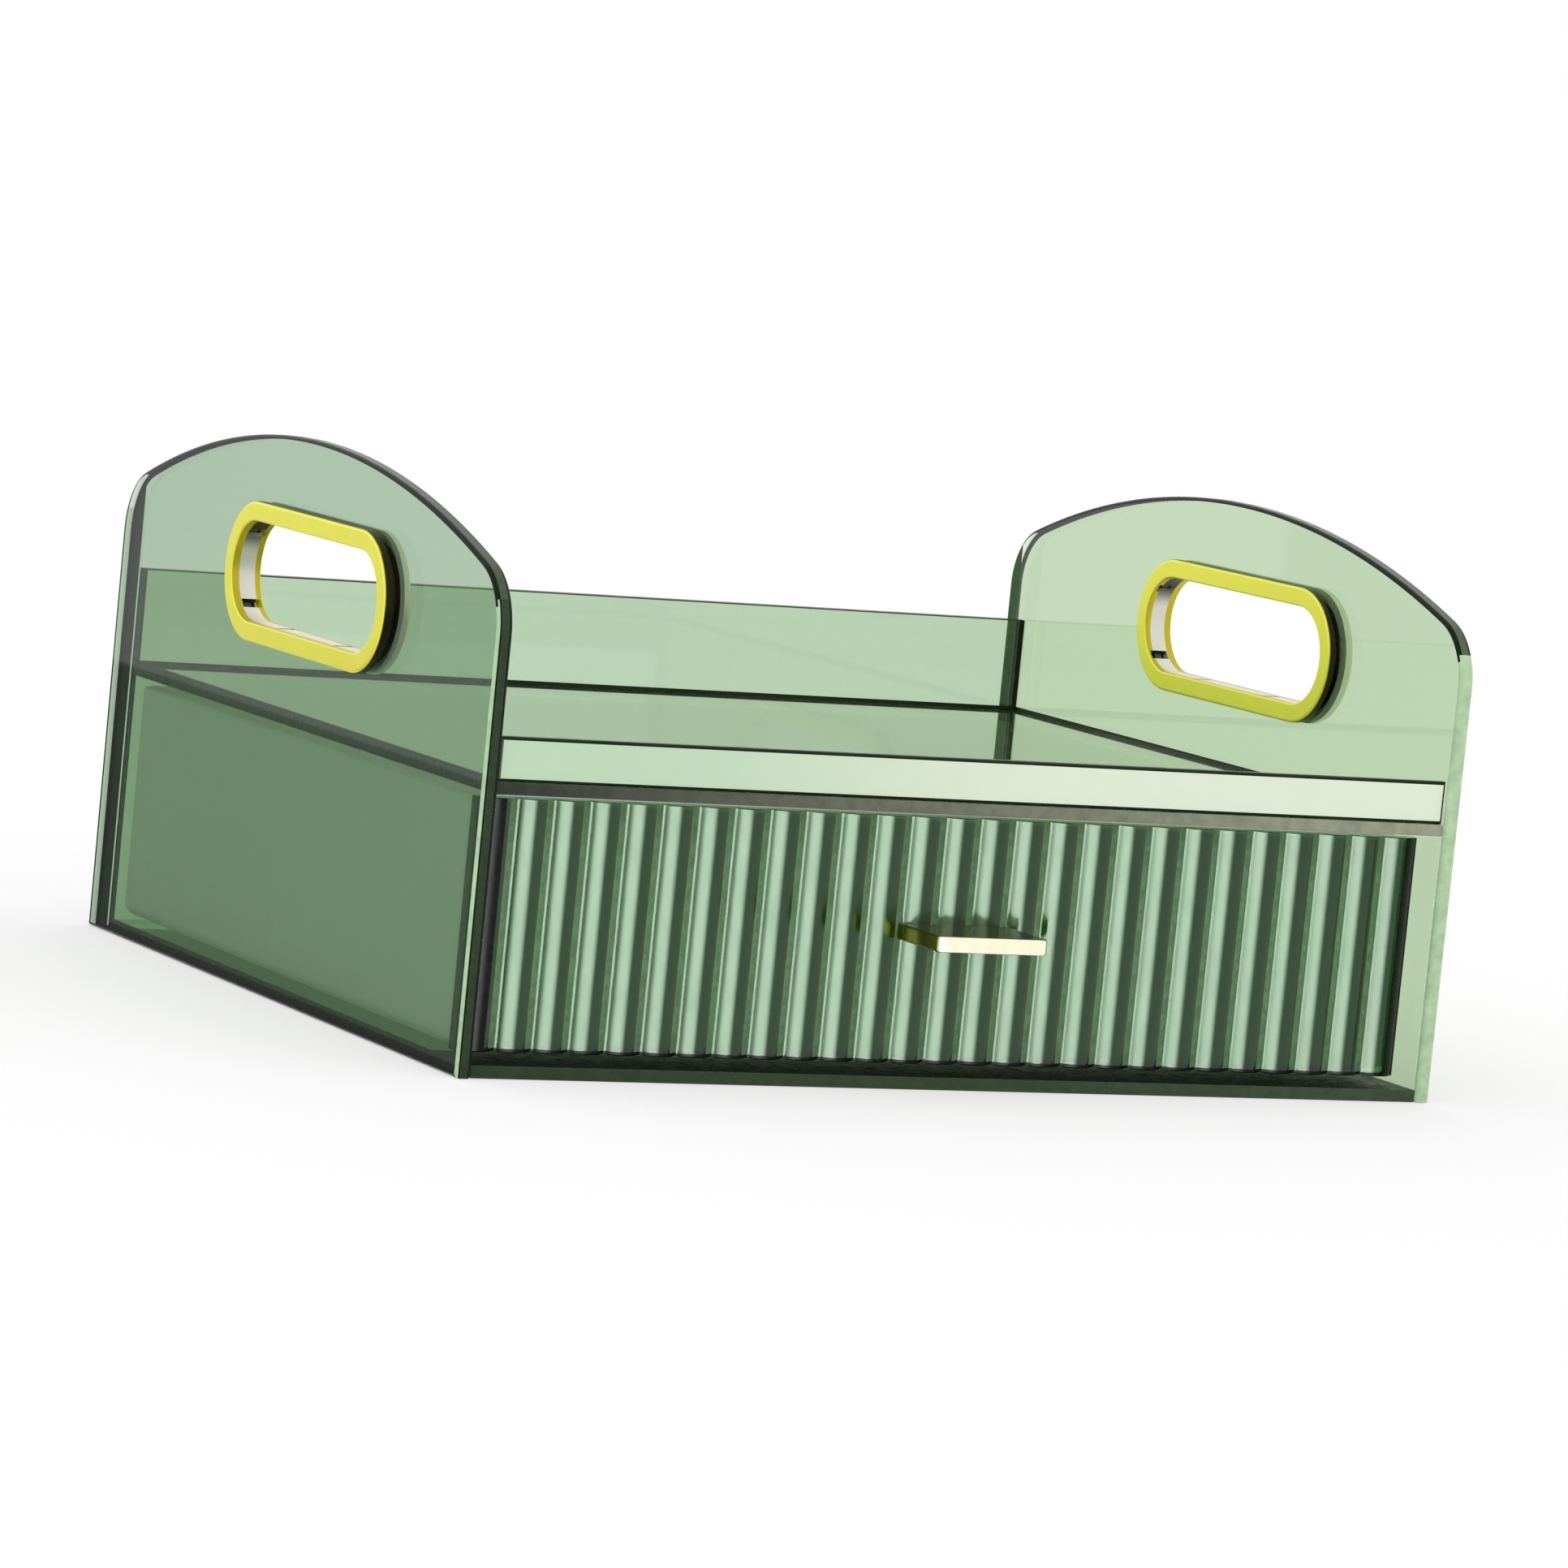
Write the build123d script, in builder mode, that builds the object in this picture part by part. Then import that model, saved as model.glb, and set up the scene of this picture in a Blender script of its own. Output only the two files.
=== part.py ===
"""Two-level makeup storage box in tinted sheet plastic with gold trim and one ribbed drawer.

Millimetres, +Z up, +X to the right, +Y to the back. The origin is the middle of the case's
footprint, on the surface that the box stands on.
"""
import os

from build123d import *

os.makedirs("parts", exist_ok=True)

# Case
case_width = 300.0
case_depth = 264.0
side_thickness = 4.5
shoulder_rise = 51.5
shoulder_radius = 19.0
arch_rise = 25.5
sheet_edge_radius = 0.5

# Sheets between the sides
base_thickness = 3.5
base_setback = 0.8
shelf_thickness = 3.3
shelf_top = 78.5
shelf_setback = 1.0
back_thickness = 3.5
back_rise = 28.0
back_inset = 7.5
lip_thickness = 3.2
lip_height = 12.0
lip_setback = 1.5

# Hand holes and their two-piece gold rings
grip_height = 28.2
grip_straight = 73.0
grip_drop = 39.7
grip_forward = 8.0
ring_band = 5.5
ring_outer_proud = 2.5
ring_inner_proud = 2.0
ring_edge_radius = 0.8
ring_bore_edge_radius = 0.5
sleeve_wall = 1.4
sleeve_clearance = 0.2
snap_shoulder = 0.4
snap_lip_width = 0.5
snap_lip_height = 0.7
snap_clearance = 0.1
snap_slot_width = 3.0
snap_slot_length = 8.0
snap_slot_spacing = 40.0
snap_slot_angle = 45.0

# Drawer
drawer_recess = 10.5
drawer_side_gap = 0.9
drawer_top_gap = 2.0
drawer_bottom_gap = 2.0
front_plate = 3.0
rib_count = 27
rib_depth = 2.0
tub_side_gap = 1.5
tub_back_gap = 0.5
tub_top_drop = 0.6
tub_wall = 2.0
tub_corner_radius = 5.0
tub_bottom_radius = 4.0
runner_width = 5.0
runner_inset = 24.0
runner_end_margin = 18.0
runner_clearance = 0.2

# Drawer pull and its screws
pull_width = 34.0
pull_reach = 22.0
pull_thickness = 4.4
pull_rise = 2.2
pull_corner_radius = 2.0
pull_edge_radius = 0.6
pull_seat_clearance = 0.1
screw_radius = 1.25
screw_hole_clearance = 0.25
screw_thread_clearance = 0.05
screw_spacing = 18.0
screw_grip = 7.0
screw_tip_room = 1.0
screw_head_radius = 2.4
screw_head_height = 1.6
screw_slot_width = 0.7
screw_slot_depth = 0.8

# Case places, worked out from the sizes above
half_width = case_width / 2
half_depth = case_depth / 2
inner_half_width = half_width - side_thickness
inner_width = 2 * inner_half_width
shoulder_height = shelf_top + shoulder_rise
peak_height = shoulder_height + arch_rise
shelf_bottom = shelf_top - shelf_thickness
back_height = shelf_top + back_rise
back_rear_y = half_depth - back_inset
back_front_y = back_rear_y - back_thickness
base_front_y = -half_depth + base_setback
shelf_front_y = -half_depth + shelf_setback
lip_front_y = -half_depth + lip_setback

# Hand hole places
grip_centre = (-grip_forward, peak_height - grip_drop)
grip_radius = grip_height / 2
sleeve_radius = grip_radius + sleeve_wall
sleeve_length = side_thickness + snap_shoulder + snap_lip_height + snap_clearance / 2
panel_hole_radius = sleeve_radius + sleeve_clearance
ring_radius = grip_radius + ring_band
ring_bore_radius = sleeve_radius + snap_clearance
snap_lip_radius = sleeve_radius + snap_lip_width
snap_rebate_radius = snap_lip_radius + snap_clearance
snap_rebate_depth = snap_lip_height + snap_clearance
snap_slot_reach = 4 * ring_radius

# Drawer places
crest_y = -half_depth + drawer_recess
rib_root_y = crest_y + rib_depth
front_rear_y = rib_root_y + front_plate
front_bottom = base_thickness + drawer_bottom_gap
front_top = shelf_bottom - drawer_top_gap
front_half_width = inner_half_width - drawer_side_gap
rib_pitch = 2 * front_half_width / rib_count
tub_width = inner_width - 2 * tub_side_gap
tub_rear_y = back_front_y - tub_back_gap
tub_length = tub_rear_y - front_rear_y
tub_centre = (0, (front_rear_y + tub_rear_y) / 2)
tub_top = front_top - tub_top_drop
tub_inner_front_y = front_rear_y + tub_wall
runner_height = drawer_bottom_gap - runner_clearance
runner_gauge = tub_width - 2 * runner_inset
runner_length = tub_length - 2 * runner_end_margin

# Pull places
pull_centre_z = (front_bottom + front_top) / 2 + pull_rise
pull_front_y = crest_y - pull_reach
pull_length = rib_root_y - pull_front_y
screw_head_y = tub_inner_front_y + screw_head_height


def grip_slot(radius, mode=Mode.ADD):
    """Round-ended slot about the hand hole's centre, in a sketch that looks at a side sheet."""
    with Locations(grip_centre):
        SlotCenterToCenter(grip_straight, 2 * radius, mode=mode)


def screw_circles(radius):
    """One circle for each pull screw, in a sketch that looks at the drawer front."""
    with Locations((0, pull_centre_z)):
        with GridLocations(screw_spacing, 0, 2, 1):
            Circle(radius)


def sheet(front_y, rear_y):
    """Rectangle from side to side between two depths, in a sketch that looks down."""
    with Locations((0, (front_y + rear_y) / 2)):
        Rectangle(inner_width, rear_y - front_y)


def side_panel(side):
    """Side sheet with an arched top and a hand hole; side is -1 on the left and 1 on the right."""
    with BuildPart() as panel:
        with BuildSketch(Plane.YZ.offset(side * half_width)) as outline:
            with BuildLine():
                Polyline(
                    (-half_depth, shoulder_height),
                    (-half_depth, 0),
                    (half_depth, 0),
                    (half_depth, shoulder_height),
                )
                ThreePointArc(
                    (half_depth, shoulder_height),
                    (0, peak_height),
                    (-half_depth, shoulder_height),
                )
            make_face()
            fillet(outline.vertices().group_by(Axis.Y)[-1], shoulder_radius)
            grip_slot(panel_hole_radius, mode=Mode.SUBTRACT)
        extrude(amount=-side * side_thickness)
        faces = panel.faces().filter_by(Axis.X)
        fillet(faces[0].outer_wire().edges() + faces[1].outer_wire().edges(), sheet_edge_radius)
    return panel.part


def outer_ring(side):
    """Gold ring on the outside of a side, with a slotted sleeve that goes through the hole."""
    outward = Axis.X if side > 0 else -Axis.X
    outside = Plane.YZ.offset(side * half_width)
    sleeve_end = Plane.YZ.offset(side * (half_width - sleeve_length))
    with BuildPart() as ring:
        with BuildSketch(outside):
            grip_slot(ring_radius)
        extrude(amount=side * ring_outer_proud)
        fillet(ring.faces().sort_by(outward)[-1].edges(), ring_edge_radius)
        with BuildSketch(outside):
            grip_slot(sleeve_radius)
        extrude(amount=-side * sleeve_length)
        with BuildSketch(sleeve_end):
            grip_slot(snap_lip_radius)
        extrude(amount=side * snap_lip_height)
        with BuildSketch(sleeve_end):
            grip_slot(grip_radius)
        extrude(amount=side * (sleeve_length + ring_outer_proud), mode=Mode.SUBTRACT)
        fillet(ring.faces().sort_by(outward)[-1].inner_wires()[0].edges(), ring_bore_edge_radius)
        with BuildSketch(sleeve_end):
            with Locations(grip_centre):
                with GridLocations(snap_slot_spacing, 0, 2, 1):
                    Rectangle(snap_slot_width, snap_slot_reach)
                for end, first_angle in ((1, -snap_slot_angle), (-1, 180 - snap_slot_angle)):
                    with Locations((end * grip_straight / 2, 0)):
                        with PolarLocations(sleeve_radius, 2, first_angle, 2 * snap_slot_angle, endpoint=True):
                            Rectangle(snap_slot_length, snap_slot_width)
        extrude(amount=side * sleeve_length, mode=Mode.SUBTRACT)
    return ring.part


def inner_ring(side):
    """Gold ring on the inside of a side, over the sleeve's end and held by its snap fingers."""
    outward = Axis.X if side > 0 else -Axis.X
    inside = Plane.YZ.offset(side * inner_half_width)
    shoulder = Plane.YZ.offset(side * (inner_half_width - snap_shoulder))
    with BuildPart() as ring:
        with BuildSketch(inside):
            grip_slot(ring_radius)
        extrude(amount=-side * ring_inner_proud)
        fillet(ring.faces().sort_by(outward)[0].edges(), ring_edge_radius)
        with BuildSketch(inside):
            grip_slot(grip_radius)
        extrude(amount=-side * ring_inner_proud, mode=Mode.SUBTRACT)
        fillet(ring.faces().sort_by(outward)[0].inner_wires()[0].edges(), ring_bore_edge_radius)
        with BuildSketch(inside):
            grip_slot(ring_bore_radius)
        extrude(amount=-side * snap_shoulder, mode=Mode.SUBTRACT)
        with BuildSketch(shoulder):
            grip_slot(snap_rebate_radius)
        extrude(amount=-side * snap_rebate_depth, mode=Mode.SUBTRACT)
    return ring.part


# Side sheets with their rings
for side_name, side in (("left", -1), ("right", 1)):
    for piece_name, piece in (
        ("side_panel", side_panel(side)),
        ("outer_ring", outer_ring(side)),
        ("inner_ring", inner_ring(side)),
    ):
        piece.label = f"{side_name}_{piece_name}"
        export_step(piece, f"parts/{piece.label}.step")

# Base sheet between the sides, in front of the back sheet
with BuildPart() as base_panel:
    with BuildSketch(Plane.XY):
        sheet(base_front_y, back_front_y)
    extrude(amount=base_thickness)
base_panel.part.label = "base_panel"
export_step(base_panel.part, "parts/base_panel.step")

# Back sheet, standing between the sides
with BuildPart() as back_panel:
    with BuildSketch(Plane.XY):
        sheet(back_front_y, back_rear_y)
    extrude(amount=back_height)
    fillet(back_panel.edges().filter_by(Axis.X).group_by(Axis.Z)[-1], sheet_edge_radius)
back_panel.part.label = "back_panel"
export_step(back_panel.part, "parts/back_panel.step")

# Shelf sheet: floor of the tray, roof of the drawer bay
with BuildPart() as shelf_panel:
    with BuildSketch(Plane.XY.offset(shelf_bottom)):
        sheet(shelf_front_y, back_front_y)
    extrude(amount=shelf_thickness)
shelf_panel.part.label = "shelf_panel"
export_step(shelf_panel.part, "parts/shelf_panel.step")

# Low lip standing on the front of the shelf
with BuildPart() as front_lip:
    with BuildSketch(Plane.XY.offset(shelf_top)):
        sheet(lip_front_y, lip_front_y + lip_thickness)
    extrude(amount=lip_height)
    fillet(front_lip.edges().filter_by(Axis.X).group_by(Axis.Z)[-1], sheet_edge_radius)
front_lip.part.label = "front_lip"
export_step(front_lip.part, "parts/front_lip.step")

# Drawer front with half-round ribs, a seat for the pull and two screw holes
with BuildPart() as drawer_front:
    with BuildSketch(Plane.XY.offset(front_bottom)):
        with BuildLine():
            Polyline(
                (-front_half_width, rib_root_y),
                (-front_half_width, front_rear_y),
                (front_half_width, front_rear_y),
                (front_half_width, rib_root_y),
            )
            for rib in range(rib_count):
                rib_left = -front_half_width + rib * rib_pitch
                ThreePointArc(
                    (rib_left, rib_root_y),
                    (rib_left + rib_pitch / 2, crest_y),
                    (rib_left + rib_pitch, rib_root_y),
                )
        make_face()
    extrude(amount=front_top - front_bottom)
    with BuildSketch(Plane.XZ.offset(-rib_root_y)):
        with Locations((0, pull_centre_z)):
            Rectangle(pull_width + 2 * pull_seat_clearance, pull_thickness + 2 * pull_seat_clearance)
    extrude(amount=rib_depth, mode=Mode.SUBTRACT)
    with BuildSketch(Plane.XZ.offset(-front_rear_y)):
        screw_circles(screw_radius + screw_hole_clearance)
    extrude(amount=front_plate, mode=Mode.SUBTRACT)
drawer_front.part.label = "drawer_front"
export_step(drawer_front.part, "parts/drawer_front.step")

# Drawer tub with rounded corners, two runners under its floor and two screw holes
with BuildPart() as drawer_tub:
    with BuildSketch(Plane.XY.offset(front_bottom)):
        with Locations(tub_centre):
            RectangleRounded(tub_width, tub_length, tub_corner_radius)
    extrude(amount=tub_top - front_bottom)
    fillet(drawer_tub.faces().sort_by(Axis.Z)[0].edges(), tub_bottom_radius)
    offset(amount=-tub_wall, openings=drawer_tub.faces().sort_by(Axis.Z)[-1])
    with BuildSketch(Plane.XY.offset(front_bottom)):
        with Locations(tub_centre):
            with GridLocations(runner_gauge, 0, 2, 1):
                Rectangle(runner_width, runner_length)
    extrude(amount=-runner_height)
    with BuildSketch(Plane.XZ.offset(-tub_inner_front_y)):
        screw_circles(screw_radius + screw_hole_clearance)
    extrude(amount=tub_wall, mode=Mode.SUBTRACT)
drawer_tub.part.label = "drawer_tub"
export_step(drawer_tub.part, "parts/drawer_tub.step")

# Gold tab pull, seated on the front between cut ribs
with BuildPart() as drawer_pull:
    with BuildSketch(Plane.XY.offset(pull_centre_z - pull_thickness / 2)):
        with Locations((0, rib_root_y - pull_length / 2)):
            Rectangle(pull_width, pull_length)
    extrude(amount=pull_thickness)
    fillet(drawer_pull.edges().filter_by(Axis.Z).group_by(Axis.Y)[0], pull_corner_radius)
    rims = drawer_pull.faces().filter_by(Axis.Z).edges()
    fillet(rims - rims.group_by(Axis.Y)[-1], pull_edge_radius)
    with BuildSketch(Plane.XZ.offset(-rib_root_y)):
        screw_circles(screw_radius + screw_thread_clearance)
    extrude(amount=screw_grip + screw_tip_room, mode=Mode.SUBTRACT)
drawer_pull.part.label = "drawer_pull"
export_step(drawer_pull.part, "parts/drawer_pull.step")

# Two slotted pan-head screws from inside the tub into the pull
with BuildPart() as pull_screws:
    with BuildSketch(Plane.XZ.offset(-screw_head_y)):
        screw_circles(screw_head_radius)
    extrude(amount=screw_head_height)
    with BuildSketch(Plane.XZ.offset(-tub_inner_front_y)):
        screw_circles(screw_radius)
    extrude(amount=tub_wall + front_plate + screw_grip)
    with BuildSketch(Plane.XZ.offset(-screw_head_y)):
        with Locations((0, pull_centre_z)):
            Rectangle(screw_spacing + 2 * screw_head_radius, screw_slot_width)
    extrude(amount=screw_slot_depth, mode=Mode.SUBTRACT)
pull_screws.part.label = "pull_screws"
export_step(pull_screws.part, "parts/pull_screws.step")
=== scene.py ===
"""Looks of a two-level makeup storage box in green tinted plastic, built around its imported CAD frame."""
import math

import bmesh
import bpy
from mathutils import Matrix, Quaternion, Vector


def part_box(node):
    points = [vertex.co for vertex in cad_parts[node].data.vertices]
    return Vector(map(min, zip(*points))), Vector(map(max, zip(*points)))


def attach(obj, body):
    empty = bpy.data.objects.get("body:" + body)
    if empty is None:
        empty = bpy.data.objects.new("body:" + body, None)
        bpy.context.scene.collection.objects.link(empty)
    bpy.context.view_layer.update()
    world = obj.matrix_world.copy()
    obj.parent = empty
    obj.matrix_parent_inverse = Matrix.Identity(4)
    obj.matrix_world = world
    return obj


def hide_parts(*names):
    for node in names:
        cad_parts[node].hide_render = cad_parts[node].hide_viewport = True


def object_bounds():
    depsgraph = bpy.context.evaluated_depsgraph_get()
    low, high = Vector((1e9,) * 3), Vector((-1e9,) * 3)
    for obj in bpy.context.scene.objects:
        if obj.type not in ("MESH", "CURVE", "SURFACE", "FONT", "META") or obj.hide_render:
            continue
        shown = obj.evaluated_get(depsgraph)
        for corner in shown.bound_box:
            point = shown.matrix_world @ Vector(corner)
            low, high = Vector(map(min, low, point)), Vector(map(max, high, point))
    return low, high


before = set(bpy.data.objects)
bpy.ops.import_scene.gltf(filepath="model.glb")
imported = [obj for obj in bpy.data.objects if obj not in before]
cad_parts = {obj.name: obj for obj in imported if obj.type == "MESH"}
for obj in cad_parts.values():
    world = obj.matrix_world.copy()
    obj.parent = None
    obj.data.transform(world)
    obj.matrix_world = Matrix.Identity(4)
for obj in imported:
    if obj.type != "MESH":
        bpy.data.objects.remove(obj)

cad_low, cad_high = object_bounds()

# Base sheet.
# A flat sheet of cast acrylic, tinted green through, that the box stands on. It is sawn to size,
# its edges are polished, and it is solvent bonded between the two sides.
mm = 0.001
bond_line = 0.03 * mm
base_round, edge_steps = 0.3 * mm, 2
strip_depth = 24 * mm
main_slot, edge_slot, strip_slot = 0, 1, 2


def linear(code):
    """An sRGB hex colour as the linear colour that a shader takes."""
    parts = [int(code[i:i + 2], 16) / 255 for i in (1, 3, 5)]
    parts = [p / 12.92 if p <= 0.04045 else ((p + 0.055) / 1.055) ** 2.4 for p in parts]
    return (*parts, 1.0)


def add_node(tree, kind, inputs=None, **settings):
    """Adds a node with its settings; each input is a value or the output that feeds it."""
    node = tree.nodes.new(kind)
    for name, value in settings.items():
        setattr(node, name, value)
    for name, value in (inputs or {}).items():
        if isinstance(value, bpy.types.NodeSocket):
            tree.links.new(value, node.inputs[name])
        else:
            node.inputs[name].default_value = value
    return node


def new_tree(name):
    """A material with an empty node tree, and that tree."""
    material = bpy.data.materials.new(name)
    material.use_nodes = True
    material.node_tree.nodes.clear()
    return material, material.node_tree


def per_metre(size):
    """Scale of a texture whose features are this large, in metres."""
    return 1.0 / size


def inset(loop, distance):
    """A closed anticlockwise outline moved inwards by a distance, mitred at its corners."""
    moved = []
    for before, here, after in zip(loop[-1:] + loop[:-1], loop, loop[1:] + loop[:1]):
        into = (here - before).normalized()
        out = (after - here).normalized()
        across = Vector((-into.y - out.y, into.x + out.x))
        moved.append(here + across * (distance / (1.0 + into.dot(out))))
    return moved


def slab(outline, hole, low, high, radius, steps, place, rim_slot=edge_slot):
    """Bmesh of a flat piece with rounded rims: outline and hole are in its plane, low and high across it.
    place turns (u, v, w) into a point of the frame, and rim_slot is the material slot of its rims."""
    bm = bmesh.new()
    turns = [math.pi / 2 * i / steps for i in range(steps + 1)]
    levels = [(low + radius * (1 - math.sin(t)), radius * (1 - math.cos(t))) for t in reversed(turns)]
    levels += [(high - radius * (1 - math.sin(t)), radius * (1 - math.cos(t))) for t in turns]
    caps = ([], [])
    for loop, sign in ((outline, 1), (hole, -1)):
        if not loop:
            continue
        rings = []
        for across, depth in levels:
            points = inset(loop, depth * sign) if depth else loop
            rings.append([bm.verts.new(place(p.x, p.y, across)) for p in points])
        for lower, upper in zip(rings, rings[1:]):
            for i in range(len(lower)):
                rim = bm.faces.new((lower[i - 1], lower[i], upper[i], upper[i - 1]))
                rim.material_index = rim_slot
        for cap, ring in zip(caps, (rings[0], rings[-1])):
            cap.extend(bm.edges.get((ring[i - 1], ring[i])) for i in range(len(ring)))
    for cap in caps:
        bmesh.ops.triangle_fill(bm, use_beauty=True, use_dissolve=False, edges=cap)
    bmesh.ops.recalc_face_normals(bm, faces=bm.faces)
    return bm


def rectangle(low_u, high_u, low_v, high_v):
    """Anticlockwise outline of a rectangle."""
    return [Vector(p) for p in ((low_u, low_v), (high_u, low_v), (high_u, high_v), (low_u, high_v))]


def cut(bm, point, way):
    """Cuts the faces of a bmesh along a plane, so that what lies on each side can have its own material."""
    whole = bm.verts[:] + bm.edges[:] + bm.faces[:]
    bmesh.ops.bisect_plane(bm, geom=whole, plane_co=point, plane_no=way)


def mesh_object(name, bm, materials):
    """An object of the scene whose mesh is this bmesh."""
    mesh = bpy.data.meshes.new(name)
    bm.to_mesh(mesh)
    bm.free()
    for material in materials:
        mesh.materials.append(material)
    made = bpy.data.objects.new(name, mesh)
    bpy.context.scene.collection.objects.link(made)
    return made


def make_piece(name, bm, materials, body, nodes, crease=20.0):
    """A piece that rides on a body and stands for CAD nodes, smooth up to the crease angle in degrees."""
    piece = mesh_object(name, bm, materials)
    piece.data.shade_smooth()
    piece.data.set_sharp_from_angle(angle=math.radians(crease))
    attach(piece, body)
    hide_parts(*nodes)
    return piece


def tinted_acrylic(name, tint, flank_shade_tone="#FFFFFF"):
    """Cast acrylic tinted through: glossy, with a faint roll in its surface and a haze of wiping marks.
    A metre of it takes strength times what the tint lacks from the light, so a long path goes nearly black.
    It is drawn with little bending, so that an edge shows its full width through the sheet, as it does in
    the picture; the gloss is a clear coat. The flank tone dims the clear rear flank of a side sheet, a
    painted shade."""
    strength = 300.0
    haze_size, roll_size, mark_size = 9 * mm, 55 * mm, 2.5 * mm
    flank_from, flank_to = 130.7 * mm, 131 * mm
    material, tree = new_tree(name)
    where = add_node(tree, "ShaderNodeTexCoord").outputs["Object"]
    haze = add_node(tree, "ShaderNodeTexNoise", {
        "Vector": where, "Scale": per_metre(haze_size), "Detail": 4.0})
    gloss = add_node(tree, "ShaderNodeMapRange", {
        "Value": haze.outputs["Fac"], "From Min": 0.35, "From Max": 0.75, "To Min": 0.012, "To Max": 0.05})
    roll = add_node(tree, "ShaderNodeTexNoise", {
        "Vector": where, "Scale": per_metre(roll_size), "Detail": 1.0})
    relief = add_node(tree, "ShaderNodeBump", {
        "Height": roll.outputs["Fac"], "Strength": 0.25, "Distance": 0.12 * mm})
    stain = add_node(tree, "ShaderNodeTexNoise", {
        "Vector": where, "Scale": per_metre(mark_size), "Detail": 5.0})
    film = add_node(tree, "ShaderNodeMix", {
        "Factor": stain.outputs["Fac"], "A": linear("#F6FFF4"), "B": linear("#FFFFFF")}, data_type="RGBA")
    # The rear flank of a side sheet is dimmed here: painted shade.
    axis = add_node(tree, "ShaderNodeSeparateXYZ", {"Vector": where})
    along = add_node(tree, "ShaderNodeMapRange", {
        "Value": axis.outputs["Y"], "From Min": flank_from, "From Max": flank_to})
    flank_shade = add_node(tree, "ShaderNodeMix", {
        "Factor": along.outputs["Result"], "A": linear("#FFFFFF"), "B": linear(flank_shade_tone)},
        data_type="RGBA")
    clear = add_node(tree, "ShaderNodeMix", {
        "Factor": 1.0, "A": film.outputs["Result"], "B": flank_shade.outputs["Result"]},
        data_type="RGBA", blend_type="MULTIPLY")
    skin = add_node(tree, "ShaderNodeBsdfPrincipled", {
        "Base Color": clear.outputs["Result"], "Roughness": gloss.outputs["Result"], "IOR": 1.06,
        "Transmission Weight": 1.0, "Normal": relief.outputs["Normal"],
        "Coat Weight": 1.0, "Coat Roughness": 0.03, "Coat Normal": relief.outputs["Normal"]})
    body = add_node(tree, "ShaderNodeVolumeAbsorption", {"Color": linear(tint), "Density": strength})
    add_node(tree, "ShaderNodeOutputMaterial", {
        "Surface": skin.outputs["BSDF"], "Volume": body.outputs["Volume"]})
    return material


def seam_and_painted_light_tone(name, left_tone, right_tone, shine=0.12):
    """An opaque tone for a polished sawn edge, clouded, with fine saw lines. The darkness that light lost
    inside the sheet gives an edge is painted into its colour as painted shade, and other calls paint shade,
    and some paint light, on faces the same way; the tray seams take it for their own dark colour. The tones
    are those at the left and the right end of the box, where they differ a painted change of light along
    it, and shine is how much it mirrors."""
    half_width = 150 * mm
    cloud_size, saw_size = 4 * mm, 0.8 * mm
    material, tree = new_tree(name)
    where = add_node(tree, "ShaderNodeTexCoord").outputs["Object"]
    axis = add_node(tree, "ShaderNodeSeparateXYZ", {"Vector": where})
    along = add_node(tree, "ShaderNodeMapRange", {
        "Value": axis.outputs["X"], "From Min": -half_width, "From Max": half_width})
    ends = add_node(tree, "ShaderNodeMix", {
        "Factor": along.outputs["Result"], "A": linear(left_tone), "B": linear(right_tone)},
        data_type="RGBA")
    cloud = add_node(tree, "ShaderNodeTexNoise", {
        "Vector": where, "Scale": per_metre(cloud_size), "Detail": 4.0})
    shade = add_node(tree, "ShaderNodeMapRange", {
        "Value": cloud.outputs["Fac"], "From Min": 0.3, "From Max": 0.7, "To Min": 0.75, "To Max": 1.0})
    tone = add_node(tree, "ShaderNodeMix", {
        "Factor": 1.0, "A": ends.outputs["Result"], "B": shade.outputs["Result"]},
        data_type="RGBA", blend_type="MULTIPLY")
    gloss = add_node(tree, "ShaderNodeMapRange", {
        "Value": cloud.outputs["Fac"], "From Min": 0.3, "From Max": 0.7, "To Min": 0.2, "To Max": 0.34})
    saw = add_node(tree, "ShaderNodeTexNoise", {
        "Vector": where, "Scale": per_metre(saw_size), "Detail": 2.0})
    relief = add_node(tree, "ShaderNodeBump", {
        "Height": saw.outputs["Fac"], "Strength": 0.2, "Distance": 0.02 * mm})
    skin = add_node(tree, "ShaderNodeBsdfPrincipled", {
        "Base Color": tone.outputs["Result"], "Roughness": gloss.outputs["Result"], "IOR": 1.49,
        "Specular IOR Level": shine, "Normal": relief.outputs["Normal"]})
    add_node(tree, "ShaderNodeOutputMaterial", {"Surface": skin.outputs["BSDF"]})
    return material


# The strip of base ahead of the drawer lies in the shade of the front; that shade is painted into it as a
# nearly black tone.
sheet_acrylic = tinted_acrylic("green_acrylic_sheet", "#B0D1A6")
# Sheet rims are painted dark, a painted shade for the light lost in an edge, a little darker at the left.
rim_painted_shade = seam_and_painted_light_tone("dark_acrylic_edge_painted_shade", "#3A4A35", "#46563F")
shaded_strip = seam_and_painted_light_tone("shaded_acrylic_strip", "#1A1F19", "#1A1F19", shine=0.02)
base_low, base_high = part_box("base_panel")
base_bm = slab(
    rectangle(base_low.x + bond_line, base_high.x - bond_line, base_low.y, base_high.y - bond_line), [],
    base_low.z, base_high.z, base_round, edge_steps, lambda u, v, w: (u, v, w))
strip_back = base_low.y + strip_depth
cut(base_bm, (0, strip_back, 0), (0, 1, 0))
for face in base_bm.faces:
    on_top = face.material_index == main_slot and face.normal.z > 0.5
    if on_top and face.calc_center_median().y < strip_back:
        face.material_index = strip_slot
make_piece(
    "base_sheet", base_bm, [sheet_acrylic, rim_painted_shade, shaded_strip],
    "case", ["base_panel"])

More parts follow.
